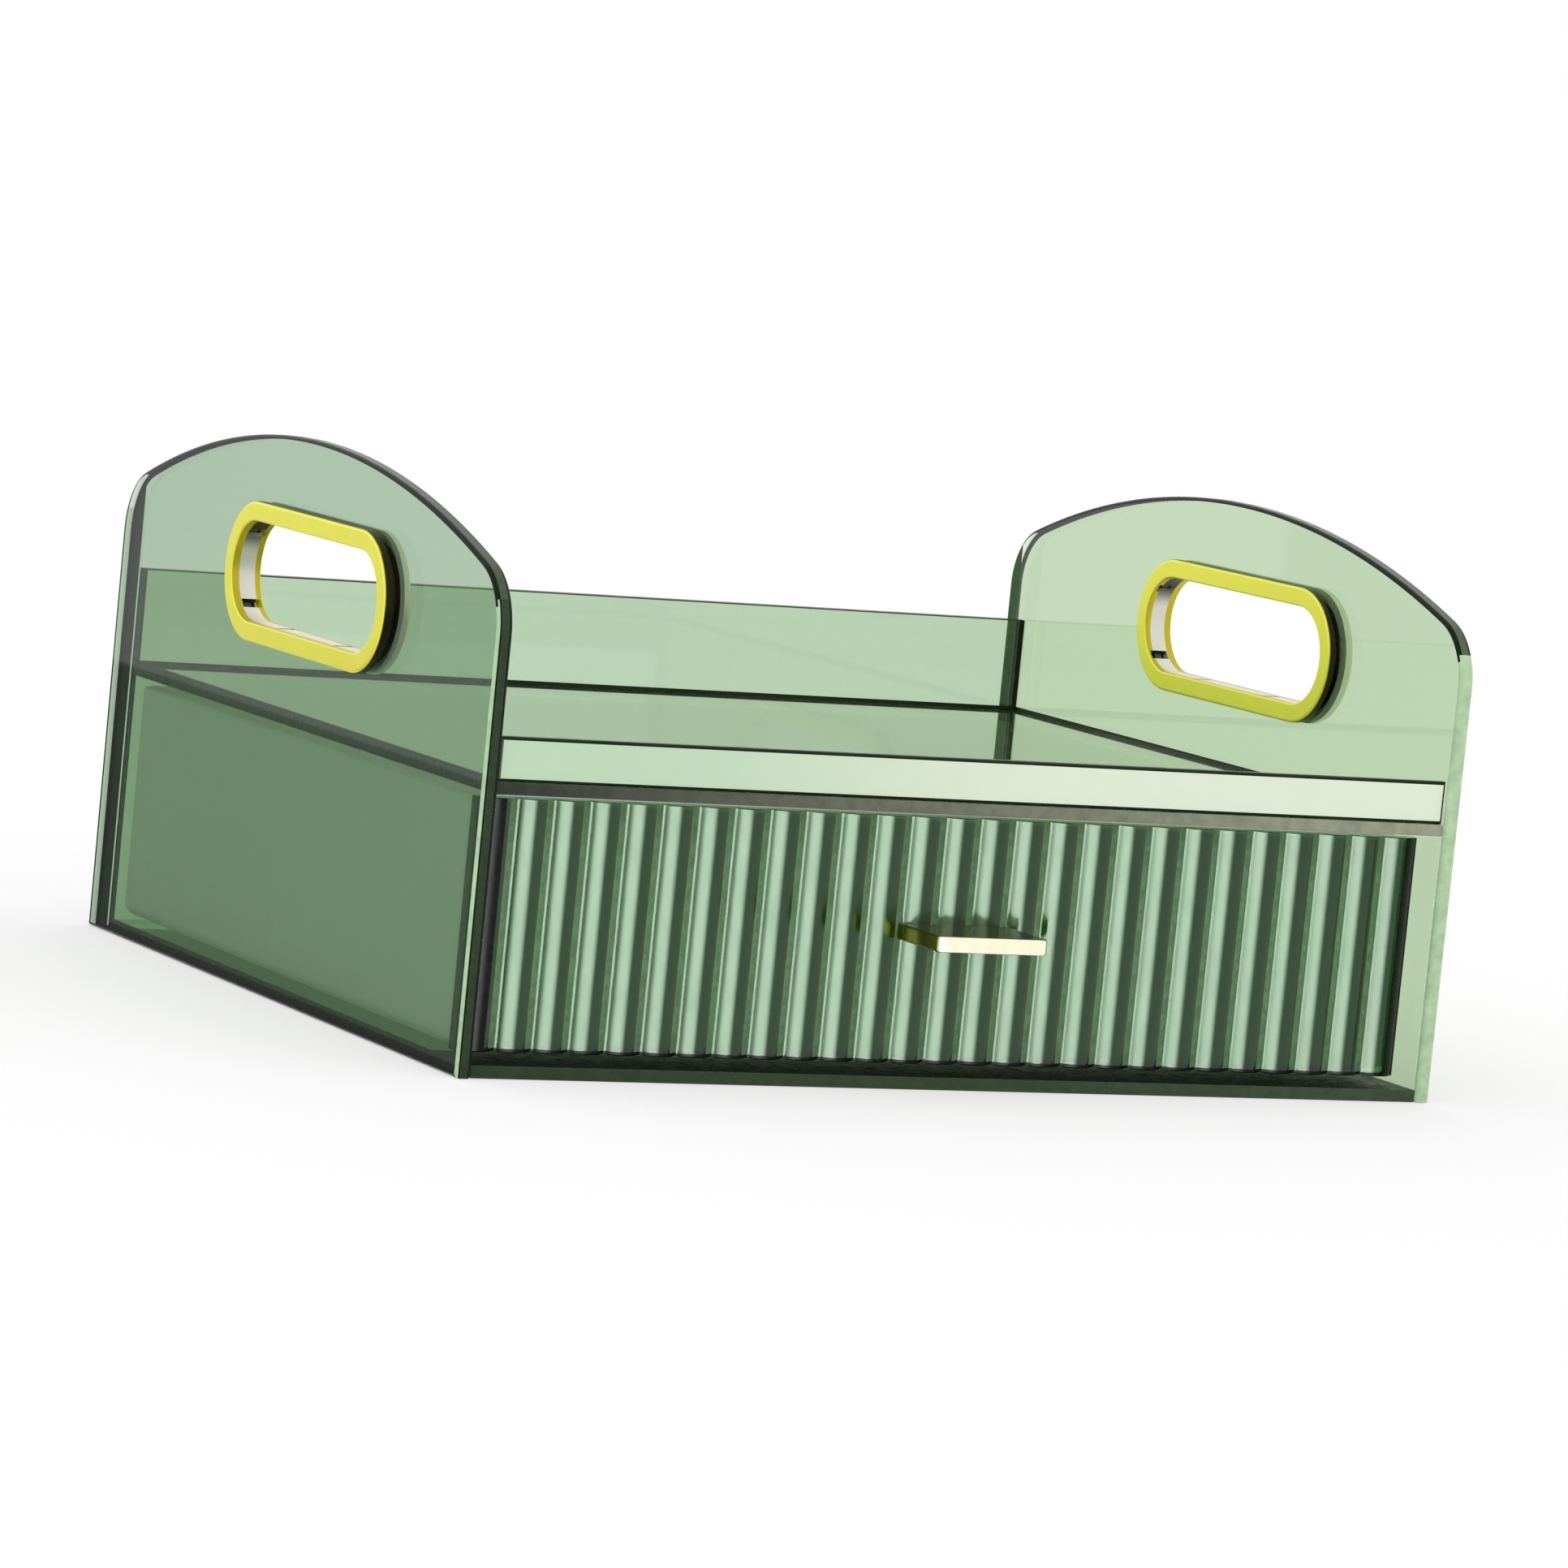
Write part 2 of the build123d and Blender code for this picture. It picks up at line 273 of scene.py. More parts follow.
# Side sheets.
# Two thicker acrylic sheets with arched tops and rounded shoulders, cut by a router with the hand
# holes, then flame polished along the whole edge. The other sheets are bonded to their inner faces.
shoulder_height, shoulder_radius, arch_steps, shoulder_steps = 130 * mm, 19 * mm, 48, 12
hole_radius, hole_straight, hole_steps = 15.7 * mm, 73 * mm, 24
hole_centre = Vector((-8 * mm, 115.8 * mm))
side_round, side_round_steps = 1.1 * mm, 4
pale_slot, arch_slot, line_slot, band_slot = 2, 3, 4, 5


def arch_outline(half, peak):
    """Side outline seen from the right: straight flanks, rounded shoulders and a long shallow arch."""
    rise = peak - shoulder_height
    arch_radius = (half * half + rise * rise) / (2 * rise)
    arch_middle = Vector((0, peak - arch_radius))
    shoulder_u = half - shoulder_radius
    shoulder_v = arch_middle.y + math.sqrt((arch_radius - shoulder_radius) ** 2 - shoulder_u ** 2)
    lean = math.atan2(shoulder_u, shoulder_v - arch_middle.y)
    loop = [Vector((-half, 0)), Vector((half, 0))]
    for i in range(shoulder_steps + 1):
        turn = (math.pi / 2 - lean) * i / shoulder_steps
        loop.append(Vector((shoulder_u + shoulder_radius * math.cos(turn),
                            shoulder_v + shoulder_radius * math.sin(turn))))
    for i in range(1, arch_steps):
        turn = lean - 2 * lean * i / arch_steps
        loop.append(arch_middle + arch_radius * Vector((math.sin(turn), math.cos(turn))))
    for i in range(shoulder_steps + 1):
        turn = math.pi / 2 + lean + (math.pi / 2 - lean) * i / shoulder_steps
        loop.append(Vector((-shoulder_u + shoulder_radius * math.cos(turn),
                            shoulder_v + shoulder_radius * math.sin(turn))))
    return loop


def slot_outline(centre, straight, radius, steps):
    """Anticlockwise outline of a round-ended slot."""
    loop = []
    for end, start in ((1, -math.pi / 2), (-1, math.pi / 2)):
        for i in range(steps + 1):
            turn = start + math.pi * i / steps
            point = Vector((end * straight / 2 + radius * math.cos(turn), radius * math.sin(turn)))
            loop.append(centre + point)
    return loop


# The left sheet is painted a shade greyer than the right one, which has the light behind it: painted
# shade. Their rims are painted from a pale line at the front, a painted glow, to a mossy arch with black
# lines along it, painted edge shade, and a dark green band of painted shade shows along the rear of each
# inner face.
left_shaded_acrylic = tinted_acrylic("mid_green_acrylic_sheet_painted_shade", "#DAE7D9", "#A3BC9F")
pale_acrylic = tinted_acrylic("pale_green_acrylic_sheet_painted_light", "#E0ECD8", "#A3BC9F")
pale_edge_painted_glow = seam_and_painted_light_tone("pale_acrylic_edge_painted_glow", "#BFE2B2", "#C2DFB4")
arch_edge_painted_shade = seam_and_painted_light_tone("mossy_acrylic_edge_painted_shade", "#4E6147", "#586C50")
edge_line_painted_shade = seam_and_painted_light_tone("black_edge_line_painted_shade", "#141B12", "#141B12")
left_painted_shade_band = seam_and_painted_light_tone("mid_green_edge_band_painted_shade", "#2C5224", "#2C5224", shine=0.02)
right_painted_shade_band = seam_and_painted_light_tone("deep_green_edge_band_painted_shade", "#466B3C", "#466B3C", shine=0.02)

# Each side is a name, its sheet, its rear band of painted shade with that band's width, the rim material of
# its front edge, and the largest X of a normal at which the rounding of that edge is painted pale, a
# painted glow.
sides = (
    ("left", left_shaded_acrylic, left_painted_shade_band, 7 * mm, edge_slot, -0.3),
    ("right", pale_acrylic, right_painted_shade_band, 6 * mm, pale_slot, 1.0),
)
for side_name, side_acrylic, side_painted_shade_band, band_width, front_slot, pale_side in sides:
    side_low, side_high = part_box(f"{side_name}_side_panel")
    side_bm = slab(
        arch_outline(side_high.y, side_high.z),
        slot_outline(hole_centre, hole_straight, hole_radius, hole_steps),
        side_low.x + bond_line, side_high.x - bond_line, side_round, side_round_steps,
        lambda u, v, w: (w, u, v))
    band_start = side_high.y - band_width
    flank_start = side_high.y - shoulder_radius
    front_end = side_low.y + 2 * side_round
    cut(side_bm, (0, band_start, 0), (0, 1, 0))
    # Faces take the painted tones: a shade band at the rear, a pale glow at the front, edge shade
    # elsewhere.
    for face in side_bm.faces:
        middle, facing = face.calc_center_median(), face.normal
        on_edge_flat = abs(facing.x) < 0.15
        if face.material_index == main_slot:
            if middle.y > band_start and facing.x * middle.x < 0:
                face.material_index = band_slot
        elif on_edge_flat:
            if middle.y < front_end:
                face.material_index = front_slot
            elif middle.y > flank_start:
                face.material_index = main_slot
            else:
                face.material_index = arch_slot
        elif middle.y < front_end and facing.x < pale_side:
            face.material_index = pale_slot
        else:
            face.material_index = line_slot
    make_piece(
        f"{side_name}_side_sheet", side_bm,
        [side_acrylic, rim_painted_shade, pale_edge_painted_glow, arch_edge_painted_shade, edge_line_painted_shade, side_painted_shade_band],
        "case", [f"{side_name}_side_panel"], crease=10.0)

# Back sheet.
# An acrylic sheet that stands between the sides a little ahead of their rear edges, and closes the
# drawer bay and the tray.
back_round = 0.4 * mm
back_low, back_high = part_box("back_panel")
back_bm = slab(
    rectangle(back_low.x + bond_line, back_high.x - bond_line, back_low.z, back_high.z), [],
    back_low.y, back_high.y, back_round, edge_steps, lambda u, v, w: (u, w, v))
make_piece("back_sheet", back_bm, [sheet_acrylic, rim_painted_shade], "case", ["back_panel"])

# Shelf sheet.
# The floor of the open tray and the roof of the drawer bay, bonded to the sides and the back. Its front
# edge is painted grey, painted edge shade, and paler towards the right, a painted reflection of the light
# ahead.
shelf_round = 0.3 * mm
shelf_acrylic = tinted_acrylic("light_green_acrylic_sheet", "#E6F0DF")
shelf_edge_painted_light = seam_and_painted_light_tone("grey_acrylic_edge_painted_reflection", "#363E36", "#A6AC94")
shelf_low, shelf_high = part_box("shelf_panel")
shelf_bm = slab(
    rectangle(shelf_low.x + bond_line, shelf_high.x - bond_line, shelf_low.y, shelf_high.y - bond_line), [],
    shelf_low.z, shelf_high.z, shelf_round, edge_steps, lambda u, v, w: (u, v, w))
make_piece("shelf_sheet", shelf_bm, [shelf_acrylic, shelf_edge_painted_light], "case", ["shelf_panel"])

# Tray seams.
# The solvent that bonds the sheets leaves a thin dark fillet in each inner corner of the tray: along
# the back, along both sides, and up the two rear corners.
seam_leg, seam_steps = 1.1 * mm, 4
seam_tone_and_lip_rim_shade = seam_and_painted_light_tone("dark_solvent_seam_and_lip_rim_shade", "#16240F", "#16240F")
tray_front, tray_back = -127.3 * mm, back_low.y
tray_floor, tray_top = shelf_high.z, back_high.z
front_left, front_right, rear_left, rear_right, top_left, top_right = (
    Vector((across, depth, height))
    for depth, height in ((tray_front, tray_floor), (tray_back, tray_floor), (tray_back, tray_top))
    for across in (shelf_low.x, shelf_high.x))
rightward, forward, upward = Vector((1, 0, 0)), Vector((0, -1, 0)), Vector((0, 0, 1))
seam_runs = (
    (rear_left, rear_right, forward, upward),
    (front_left, rear_left, rightward, upward),
    (front_right, rear_right, -rightward, upward),
    (rear_left, top_left, rightward, forward),
    (rear_right, top_right, -rightward, forward),
)
seam_bm = bmesh.new()
for seam_start, seam_end, seam_u, seam_v in seam_runs:
    seam_off = (seam_u + seam_v) * bond_line
    seam_way = (seam_end - seam_start).normalized() * bond_line
    seam_rings = []
    for seam_at in (seam_start + seam_way, seam_end - seam_way):
        ring = [seam_at + seam_off]
        for i in range(seam_steps + 1):
            turn = math.pi / 2 * i / seam_steps
            hollow = (1 - math.sin(turn)) * seam_u + (1 - math.cos(turn)) * seam_v
            ring.append(seam_at + seam_off + hollow * seam_leg)
        seam_rings.append([seam_bm.verts.new(v) for v in ring])
    near, far = seam_rings
    for i in range(len(near)):
        seam_bm.faces.new((near[i - 1], near[i], far[i], far[i - 1]))
    seam_bm.faces.new(near)
    seam_bm.faces.new(far)
bmesh.ops.recalc_face_normals(seam_bm, faces=seam_bm.faces)
seams = mesh_object("tray_seams", seam_bm, [seam_tone_and_lip_rim_shade])
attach(seams, "case")

# Front lip.
# A low strip of paler, faintly milky acrylic that stands on the front of the shelf and keeps things
# in the tray. It is bonded to the shelf and to both sides.
lip_round, lip_steps = 0.9 * mm, 3


def milky_plastic(name, left_tone, right_tone, clear, low_gloss, high_gloss):
    """Pale plastic with a little filler: light spreads in it, so it glows softly and half shows what is
    behind. The tones are those at its ends, and where they differ the change from one to the other is
    painted light; clear is the share of light that goes straight through, and the gloss is a roughness."""
    turn_from, turn_to = -120 * mm, 30 * mm
    cloud_size, swirl_size = 6 * mm, 40 * mm
    material, tree = new_tree(name)
    where = add_node(tree, "ShaderNodeTexCoord").outputs["Object"]
    axis = add_node(tree, "ShaderNodeSeparateXYZ", {"Vector": where})
    along = add_node(tree, "ShaderNodeMapRange", {
        "Value": axis.outputs["X"], "From Min": turn_from, "From Max": turn_to},
        interpolation_type="SMOOTHSTEP")
    ends = add_node(tree, "ShaderNodeMix", {
        "Factor": along.outputs["Result"], "A": linear(left_tone), "B": linear(right_tone)},
        data_type="RGBA")
    cloud = add_node(tree, "ShaderNodeTexNoise", {
        "Vector": where, "Scale": per_metre(cloud_size), "Detail": 2.0})
    flow = add_node(tree, "ShaderNodeMapRange", {
        "Value": cloud.outputs["Fac"], "To Min": 0.97, "To Max": 1.0})
    shade = add_node(tree, "ShaderNodeMix", {
        "Factor": 1.0, "A": ends.outputs["Result"], "B": flow.outputs["Result"]},
        data_type="RGBA", blend_type="MULTIPLY")
    gloss = add_node(tree, "ShaderNodeMapRange", {
        "Value": cloud.outputs["Fac"], "From Min": 0.3, "From Max": 0.7,
        "To Min": low_gloss, "To Max": high_gloss})
    swirl = add_node(tree, "ShaderNodeTexNoise", {
        "Vector": where, "Scale": per_metre(swirl_size), "Detail": 1.0})
    relief = add_node(tree, "ShaderNodeBump", {
        "Height": swirl.outputs["Fac"], "Strength": 0.2, "Distance": 0.1 * mm})
    skin = add_node(tree, "ShaderNodeBsdfPrincipled", {
        "Base Color": shade.outputs["Result"], "Roughness": gloss.outputs["Result"], "IOR": 1.49,
        "Transmission Weight": clear, "Normal": relief.outputs["Normal"]})
    add_node(tree, "ShaderNodeOutputMaterial", {"Surface": skin.outputs["BSDF"]})
    return material


# The lip is painted paler towards the right: painted light.
lip_acrylic = milky_plastic("milky_acrylic_strip", "#CFEDCA", "#F6FFE8", 0.12, 0.05, 0.12)
lip_low, lip_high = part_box("front_lip")
lip_bm = slab(
    rectangle(lip_low.x + bond_line, lip_high.x - bond_line, lip_low.z + bond_line, lip_high.z), [],
    lip_low.y, lip_high.y, lip_round, lip_steps, lambda u, v, w: (u, w, v))
# Its rims take the dark seam tone: a real seam where it sits on the shelf, painted edge shade on its other
# rims.
lip = make_piece(
    "front_lip_strip", lip_bm, [lip_acrylic, seam_tone_and_lip_rim_shade], "case", ["front_lip"], crease=10.0)

# Hand hole rings.
# Two gold-plated mouldings at each hand hole: the outer one has a slotted sleeve that goes through
# the sheet, and the inner one snaps over it. Bright lacquered plating over plastic.


def gold_plating(name, wall_tone, seat_tone):
    """Lemon gold plating, satin, clouded, with a fine orange peel. Its walls take wall_tone, the bore
    beyond the sheet a darker gold, the faces that sit on the sheet take seat_tone, and the bore of the
    sleeve is left silver, dark where it looks down. Which tone a face takes goes by the way it faces, so
    these are painted
    light and shade: a dark wall tone and the darker gold are painted shade, pale walls and seats painted
    light, and the silver bore, dark below and pale above, a painted reflection."""
    bore_reach, wall_reach = 16 * mm, 17 * mm
    sheet_middle, sheet_half = 147.75 * mm, 2.4 * mm
    cloud_size, peel_size = 7 * mm, 1.2 * mm
    material, tree = new_tree(name)
    place = add_node(tree, "ShaderNodeTexCoord")
    where = place.outputs["Object"]
    at = add_node(tree, "ShaderNodeSeparateXYZ", {"Vector": where})
    turn = add_node(tree, "ShaderNodeSeparateXYZ", {"Vector": place.outputs["Normal"]})
    # How far a point is from the middle line of the slot, which tells the bore from the outer wall.
    off = add_node(tree, "ShaderNodeMath", {0: at.outputs["Y"], 1: hole_centre.x}, operation="SUBTRACT")
    length = add_node(tree, "ShaderNodeMath", {0: off.outputs[0]}, operation="ABSOLUTE")
    past = add_node(tree, "ShaderNodeMath", {
        0: length.outputs[0], 1: hole_straight / 2}, operation="SUBTRACT")
    end = add_node(tree, "ShaderNodeMath", {0: past.outputs[0], 1: 0.0}, operation="MAXIMUM")
    up = add_node(tree, "ShaderNodeMath", {0: at.outputs["Z"], 1: hole_centre.y}, operation="SUBTRACT")
    arm = add_node(tree, "ShaderNodeCombineXYZ", {"X": end.outputs[0], "Y": up.outputs[0]})
    reach = add_node(tree, "ShaderNodeVectorMath", {0: arm.outputs["Vector"]}, operation="LENGTH")
    outside = add_node(tree, "ShaderNodeMapRange", {
        "Value": reach.outputs["Value"], "From Min": bore_reach, "From Max": wall_reach})
    # What lies within the thickness of the sheet: the sleeve and the seats.
    deep = add_node(tree, "ShaderNodeMath", {0: at.outputs["X"]}, operation="ABSOLUTE")
    in_sheet = add_node(tree, "ShaderNodeMath", {
        0: deep.outputs[0], 1: sheet_middle, 2: sheet_half}, operation="COMPARE")
    # The silver of the bore is a painted reflection: dark where it looks down, pale where it looks up.
    lift = add_node(tree, "ShaderNodeMapRange", {
        "Value": turn.outputs["Z"], "From Min": -0.75, "From Max": -0.25}, interpolation_type="SMOOTHSTEP")
    silver = add_node(tree, "ShaderNodeMix", {
        "Factor": lift.outputs["Result"], "A": linear("#2A2A20"), "B": linear("#E6E6DA")},
        data_type="RGBA")
    bore = add_node(tree, "ShaderNodeMix", {
        "Factor": in_sheet.outputs[0], "A": linear("#CDBB22"), "B": silver.outputs["Result"]},
        data_type="RGBA")
    wall = add_node(tree, "ShaderNodeMix", {
        "Factor": outside.outputs["Result"], "A": bore.outputs["Result"], "B": linear(wall_tone)},
        data_type="RGBA")
    cloud = add_node(tree, "ShaderNodeTexNoise", {
        "Vector": where, "Scale": per_metre(cloud_size), "Detail": 3.0})
    tone = add_node(tree, "ShaderNodeMix", {
        "Factor": cloud.outputs["Fac"], "A": linear("#FFF842"), "B": linear("#FFFF64")}, data_type="RGBA")
    flats = add_node(tree, "ShaderNodeMix", {
        "Factor": in_sheet.outputs[0], "A": tone.outputs["Result"], "B": linear(seat_tone)},
        data_type="RGBA")
    # Walls and faces are told apart by which way they face, so the wall and seat tones are painted light
    # and shade.
    flat = add_node(tree, "ShaderNodeMath", {0: turn.outputs["X"]}, operation="ABSOLUTE")
    face = add_node(tree, "ShaderNodeMapRange", {
        "Value": flat.outputs[0], "From Min": 0.25, "From Max": 0.85}, interpolation_type="SMOOTHSTEP")
    shade = add_node(tree, "ShaderNodeMix", {
        "Factor": face.outputs["Result"], "A": wall.outputs["Result"], "B": flats.outputs["Result"]},
        data_type="RGBA")
    gloss = add_node(tree, "ShaderNodeMapRange", {
        "Value": cloud.outputs["Fac"], "From Min": 0.3, "From Max": 0.7, "To Min": 0.34, "To Max": 0.44})
    peel = add_node(tree, "ShaderNodeTexNoise", {
        "Vector": where, "Scale": per_metre(peel_size), "Detail": 2.0})
    relief = add_node(tree, "ShaderNodeBump", {
        "Height": peel.outputs["Fac"], "Strength": 0.2, "Distance": 0.02 * mm})
    skin = add_node(tree, "ShaderNodeBsdfPrincipled", {
        "Base Color": shade.outputs["Result"], "Metallic": 0.6, "Roughness": gloss.outputs["Result"],
        "Normal": relief.outputs["Normal"]})
    add_node(tree, "ShaderNodeOutputMaterial", {"Surface": skin.outputs["BSDF"]})
    return material


# The two rings that are seen through a sheet have pale walls and seats, which vanish behind the tint:
# painted
# light. The other two have dark walls: painted shade.
near_plating = gold_plating("lemon_gold_plating_painted_dark_walls", "#2A2508", "#FFF75A")
far_plating = gold_plating("pale_walled_gold_plating_painted_light", "#E4E8CC", "#F8FFF0")
for ring_name, ring_skin in (("left_outer_ring", near_plating), ("left_inner_ring", far_plating),
                             ("right_outer_ring", far_plating), ("right_inner_ring", near_plating)):
    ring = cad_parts[ring_name]
    ring.material_slots[0].material = ring_skin

# Drawer tub.
# An injection-moulded tub of frosted white styrene with rounded corners and a rounded floor edge. Two
# runners under the floor slide on the base sheet.
tub_plastic = milky_plastic("frosted_styrene", "#F2F2F2", "#F2F2F2", 0.0, 0.3, 0.42)
tub_wall, tub_corner, tub_least_corner = 2 * mm, 5 * mm, 1 * mm
tub_floor_round, tub_floor_z = 4 * mm, 5.5 * mm
corner_steps, floor_steps, rim_steps = 10, 6, 6
runner_width, runner_inset, runner_margin, runner_round = 5 * mm, 24 * mm, 18 * mm, 0.4 * mm


def rounded_rectangle(low_u, high_u, low_v, high_v, radius, steps):
    """Anticlockwise outline of a rectangle with round corners, the same count of points for any radius."""
    loop = []
    for centre, start in (((high_u - radius, low_v + radius), -90), ((high_u - radius, high_v - radius), 0),
                          ((low_u + radius, high_v - radius), 90), ((low_u + radius, low_v + radius), 180)):
        for i in range(steps + 1):
            turn = math.radians(start + 90 * i / steps)
            loop.append(Vector(centre) + radius * Vector((math.cos(turn), math.sin(turn))))
    return loop


tub_low, tub_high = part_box("drawer_tub")
tub_bm = bmesh.new()
tub_rows = []


def tub_row(depth, height):
    """One ring of the tub's skin, this deep inside its outer wall and at this height."""
    points = rounded_rectangle(
        tub_low.x + depth, tub_high.x - depth, tub_low.y + bond_line + depth, tub_high.y - depth,
        max(tub_corner - depth, tub_least_corner), corner_steps)
    tub_rows.append([tub_bm.verts.new((p.x, p.y, height)) for p in points])


for i in range(floor_steps + 1):
    turn = math.pi / 2 * i / floor_steps
    tub_row(tub_floor_round * (1 - math.sin(turn)), tub_floor_z + tub_floor_round * (1 - math.cos(turn)))
rim_round = tub_wall / 2
for i in range(rim_steps + 1):
    turn = math.pi * i / rim_steps
    tub_row(rim_round - rim_round * math.cos(turn), tub_high.z - rim_round + rim_round * math.sin(turn))
inner_round = tub_floor_round - tub_wall
for i in range(floor_steps + 1):
    turn = math.pi / 2 * i / floor_steps
    tub_row(tub_wall + inner_round * (1 - math.cos(turn)),
            tub_floor_z + tub_wall + inner_round * (1 - math.sin(turn)))
for lower, upper in zip(tub_rows, tub_rows[1:]):
    for i in range(len(lower)):
        tub_bm.faces.new((lower[i - 1], lower[i], upper[i], upper[i - 1]))
tub_bm.faces.new(tub_rows[0])
tub_bm.faces.new(tub_rows[-1])
for runner_side in (-1, 1):
    runner_u = runner_side * (tub_high.x - runner_inset)
    runner_bm = slab(
        rectangle(runner_u - runner_width / 2, runner_u + runner_width / 2,
                  tub_low.y + runner_margin, tub_high.y - runner_margin), [],
        tub_low.z, tub_floor_z - bond_line, runner_round, edge_steps, lambda u, v, w: (u, v, w),
        rim_slot=main_slot)
    runner_mesh = bpy.data.meshes.new("runner")
    runner_bm.to_mesh(runner_mesh)
    runner_bm.free()
    tub_bm.from_mesh(runner_mesh)
    bpy.data.meshes.remove(runner_mesh)
bmesh.ops.recalc_face_normals(tub_bm, faces=tub_bm.faces)
make_piece(
    "drawer_tub_shell", tub_bm, [tub_plastic], "drawer", ["drawer_tub"], crease=35.0)

# Drawer front.
# A moulded front in the same green as the case, with upright half-round ribs on its face, fixed to
# the tub by the pull's screws.
rib_count, rib_depth, rib_steps = 27, 2 * mm, 16
rib_root_radius, root_steps = 1.2 * mm, 4
front_round = 0.25 * mm
foot_top, left_border, right_border = 6.5 * mm, 7 * mm, 4.5 * mm
valley_from = 0.8
border_slot, valley_slot = 1, 2

# Deep green styrene, moulded in a polished tool: strongly tinted, with a wet gloss that takes a little of
# its green.
rib_cloud_size, rib_flow_size = 8 * mm, 25 * mm
rib_strength = 700.0
rib_plastic, rib_tree = new_tree("deep_green_styrene")
rib_where = add_node(rib_tree, "ShaderNodeTexCoord").outputs["Object"]
rib_cloud = add_node(rib_tree, "ShaderNodeTexNoise", {
    "Vector": rib_where, "Scale": per_metre(rib_cloud_size), "Detail": 4.0})
rib_film = add_node(rib_tree, "ShaderNodeMix", {
    "Factor": rib_cloud.outputs["Fac"], "A": linear("#E4F6E0"), "B": linear("#FFFFFF")}, data_type="RGBA")
rib_gloss = add_node(rib_tree, "ShaderNodeMapRange", {
    "Value": rib_cloud.outputs["Fac"], "From Min": 0.3, "From Max": 0.7, "To Min": 0.1, "To Max": 0.16})
rib_flow = add_node(rib_tree, "ShaderNodeTexNoise", {
    "Vector": rib_where, "Scale": per_metre(rib_flow_size), "Detail": 1.0})
rib_relief = add_node(rib_tree, "ShaderNodeBump", {
    "Height": rib_flow.outputs["Fac"], "Strength": 0.2, "Distance": 0.06 * mm})
rib_skin = add_node(rib_tree, "ShaderNodeBsdfPrincipled", {
    "Base Color": rib_film.outputs["Result"], "Roughness": rib_gloss.outputs["Result"], "IOR": 1.62,
    "Specular Tint": linear("#E2FFE2"), "Transmission Weight": 1.0, "Normal": rib_relief.outputs["Normal"]})
rib_body = add_node(rib_tree, "ShaderNodeVolumeAbsorption", {
    "Color": linear("#56D558"), "Density": rib_strength})
add_node(rib_tree, "ShaderNodeOutputMaterial", {
    "Surface": rib_skin.outputs["BSDF"], "Volume": rib_body.outputs["Volume"]})

# The foot and both ends are painted nearly black, painted shade where the front is thick, wider at the
# left, which lies in the shade of the left sheet. One side of each valley is painted paler: painted light.
border_painted_shade = seam_and_painted_light_tone("dark_styrene_border_painted_shade", "#12180F", "#12180F")
valley_painted_light = seam_and_painted_light_tone("mid_green_rib_valley_painted_light", "#72986E", "#72986E")
front_low, front_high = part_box("drawer_front")
rib_pitch = (front_high.x - front_low.x) / rib_count
rib_swing = 2 * math.atan(rib_depth / (rib_pitch / 2))
rib_radius = rib_pitch / 2 / math.sin(rib_swing) - rib_root_radius
front_loop = []
for rib in range(rib_count):
    rib_left = front_low.x + rib * rib_pitch
    for i in range(root_steps):
        turn = rib_swing * i / root_steps
        front_loop.append(Vector((rib_left + rib_root_radius * math.sin(turn),
                                  front_low.y + rib_depth - rib_root_radius * (1 - math.cos(turn)))))
    for i in range(rib_steps + 1):
        turn = -rib_swing + 2 * rib_swing * i / rib_steps
        front_loop.append(Vector((rib_left + rib_pitch / 2 + rib_radius * math.sin(turn),
                                  front_low.y + rib_radius * (1 - math.cos(turn)))))
    for i in range(root_steps - 1, 0, -1):
        turn = rib_swing * i / root_steps
        front_loop.append(Vector((rib_left + rib_pitch - rib_root_radius * math.sin(turn),
                                  front_low.y + rib_depth - rib_root_radius * (1 - math.cos(turn)))))
front_loop.append(Vector((front_high.x, front_low.y + rib_depth)))
front_loop.append(Vector((front_high.x, front_high.y - bond_line)))
front_loop.append(Vector((front_low.x, front_high.y - bond_line)))
front_bm = slab(
    front_loop, [], front_low.z, front_high.z, front_round, edge_steps, lambda u, v, w: (u, v, w),
    rim_slot=main_slot)
ribs_from, ribs_to = front_low.x + left_border, front_high.x - right_border
cut(front_bm, (0, 0, foot_top), (0, 0, 1))
cut(front_bm, (ribs_from, 0, 0), (1, 0, 0))
cut(front_bm, (ribs_to, 0, 0), (1, 0, 0))
# The foot, the ends and one side of each valley take the painted shade and light.
for face in front_bm.faces:
    middle = face.calc_center_median()
    on_face = face.normal.y < -0.1
    at_end = on_face and not ribs_from < middle.x < ribs_to
    if middle.z < foot_top or at_end:
        face.material_index = border_slot
    elif on_face and (middle.x - front_low.x) / rib_pitch % 1 > valley_from:
        face.material_index = valley_slot
ribbed_front = make_piece(
    "ribbed_drawer_front", front_bm, [rib_plastic, border_painted_shade, valley_painted_light],
    "drawer", ["drawer_front"])

# Drawer pull.
# A flat tab of cast zinc, plated pale gold, seated against the front between cut ribs.
# The plating is polished. Its front edge is painted a bright cream, a painted highlight, and its other
# faces an olive gold, painted shade.
pull_cloud_size = 5 * mm
pull_gold, pull_tree = new_tree("pale_gold_plated_zinc")
pull_place = add_node(pull_tree, "ShaderNodeTexCoord")
pull_cloud = add_node(pull_tree, "ShaderNodeTexNoise", {
    "Vector": pull_place.outputs["Object"], "Scale": per_metre(pull_cloud_size), "Detail": 3.0})
pull_tone = add_node(pull_tree, "ShaderNodeMix", {
    "Factor": pull_cloud.outputs["Fac"], "A": linear("#FAF3CE"), "B": linear("#FFFCE4")}, data_type="RGBA")
pull_turn = add_node(pull_tree, "ShaderNodeSeparateXYZ", {"Vector": pull_place.outputs["Normal"]})
